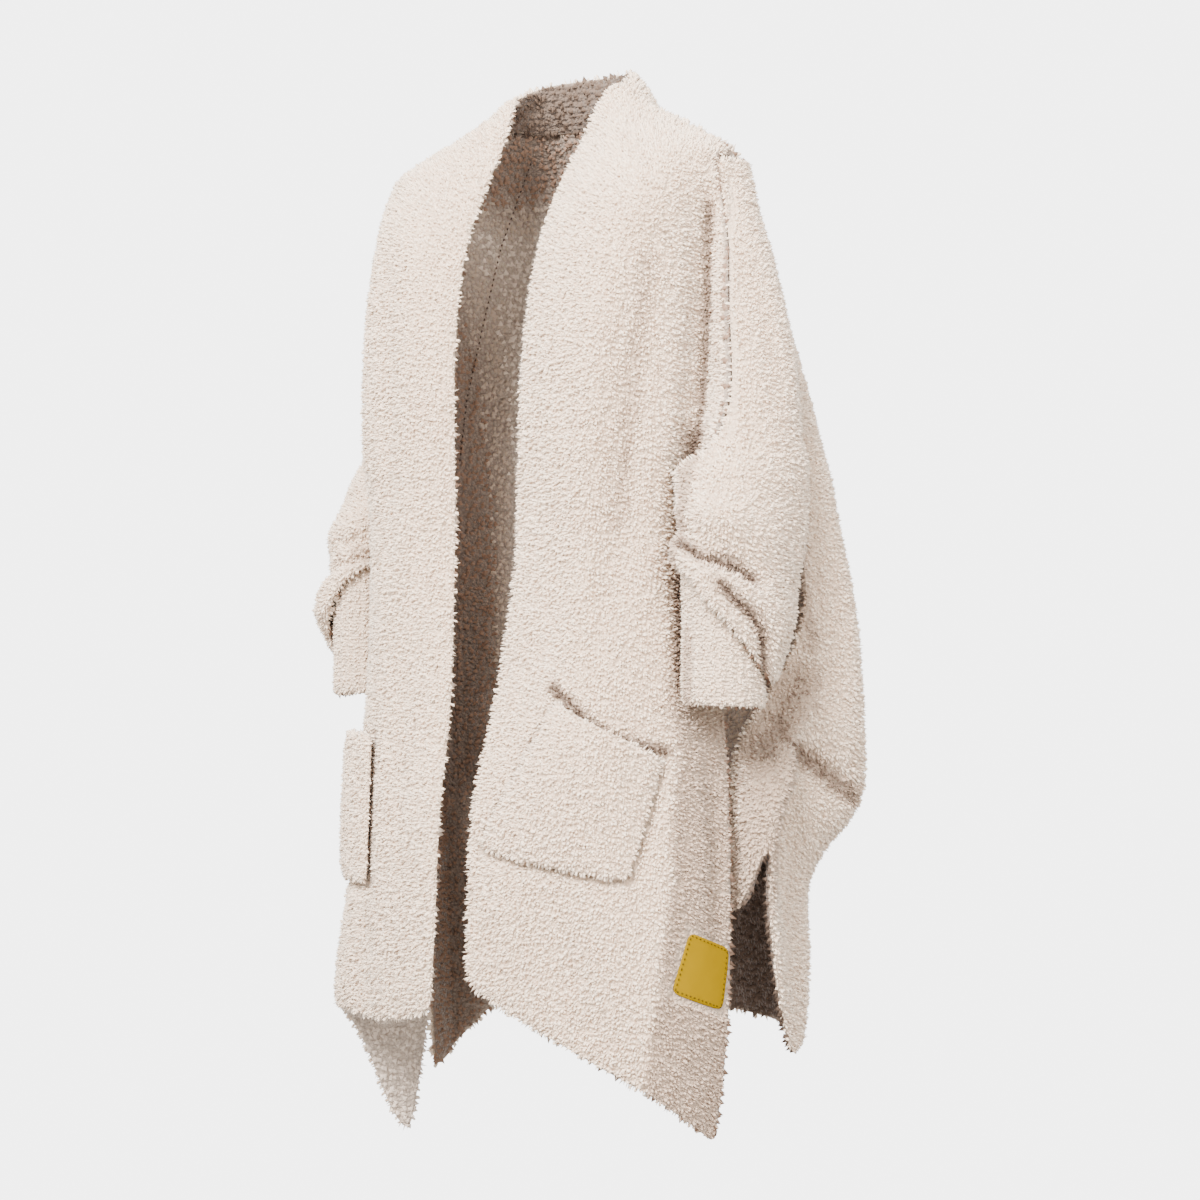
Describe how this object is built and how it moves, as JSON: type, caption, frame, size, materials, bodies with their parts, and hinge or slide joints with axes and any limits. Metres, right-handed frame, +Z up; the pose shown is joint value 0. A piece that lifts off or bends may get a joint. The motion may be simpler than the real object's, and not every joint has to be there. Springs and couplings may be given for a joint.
{
  "type": "wearable wrap blanket",
  "caption": "Open-front wearable wrap blanket in thick plush knit, with draped sides, standing neck band, pushed-up sleeves, ribbed cuffs, patch pockets and a small plain label.",
  "frame": {"origin": "seat at the nape, level with the neck seam, where the wearer carries the garment", "axes": "+Z up the wearer, -Y out of the open front, +X to the wearer's left"},
  "size_m": [0.636, 0.3532, 1.1524],
  "materials": {
    "plush_knit": "deep matt pile",
    "rib_knit": "matt ribbed pile",
    "label": "flat weave"
  },
  "bodies": {
    "root": {"back": "plush_knit", "front_left": "plush_knit", "front_right": "plush_knit", "collar": "plush_knit", "sleeve_left": "plush_knit", "sleeve_right": "plush_knit", "cuff_left": "rib_knit", "cuff_right": "rib_knit", "pocket_left": "plush_knit", "pocket_right": "plush_knit", "label": "label"}
  },
  "joints": []
}
